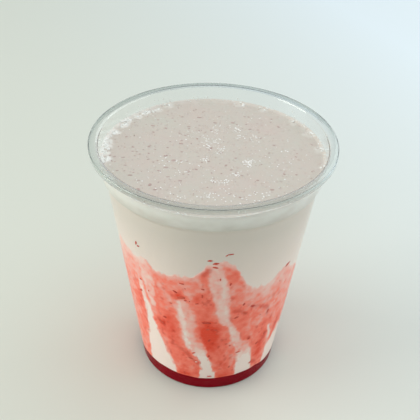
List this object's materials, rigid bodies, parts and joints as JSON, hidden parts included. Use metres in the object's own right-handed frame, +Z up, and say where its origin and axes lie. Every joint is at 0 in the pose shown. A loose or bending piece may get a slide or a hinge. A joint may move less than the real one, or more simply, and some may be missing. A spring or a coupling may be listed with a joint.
{
  "type": "plastic cup of strawberry milkshake",
  "caption": "Tall tapered clear cup with a turned-over lip and stacking shoulder, filled with milkshake streaked with strawberry puree and topped with froth.",
  "frame": {"origin": "centre of the base, on the surface that the cup stands on", "axes": "+Z up along the cup's axis, -Y towards the side seen in the picture"},
  "size_m": [0.095, 0.095, 0.107],
  "materials": {
    "clear_plastic": "clear, smooth moulded plastic with a soft gloss",
    "dark_syrup": "wet dark strawberry syrup seen through the cup",
    "milk": "wet creamy milk seen through the cup",
    "puree": "wet strawberry puree, streaked and partly translucent",
    "froth": "soft froth with fine bubbles and pink flecks"
  },
  "bodies": {
    "root": {"cup": "clear_plastic", "syrup_layer": "dark_syrup", "milk": "milk", "strawberry_puree": "puree", "froth": "froth"}
  },
  "joints": []
}
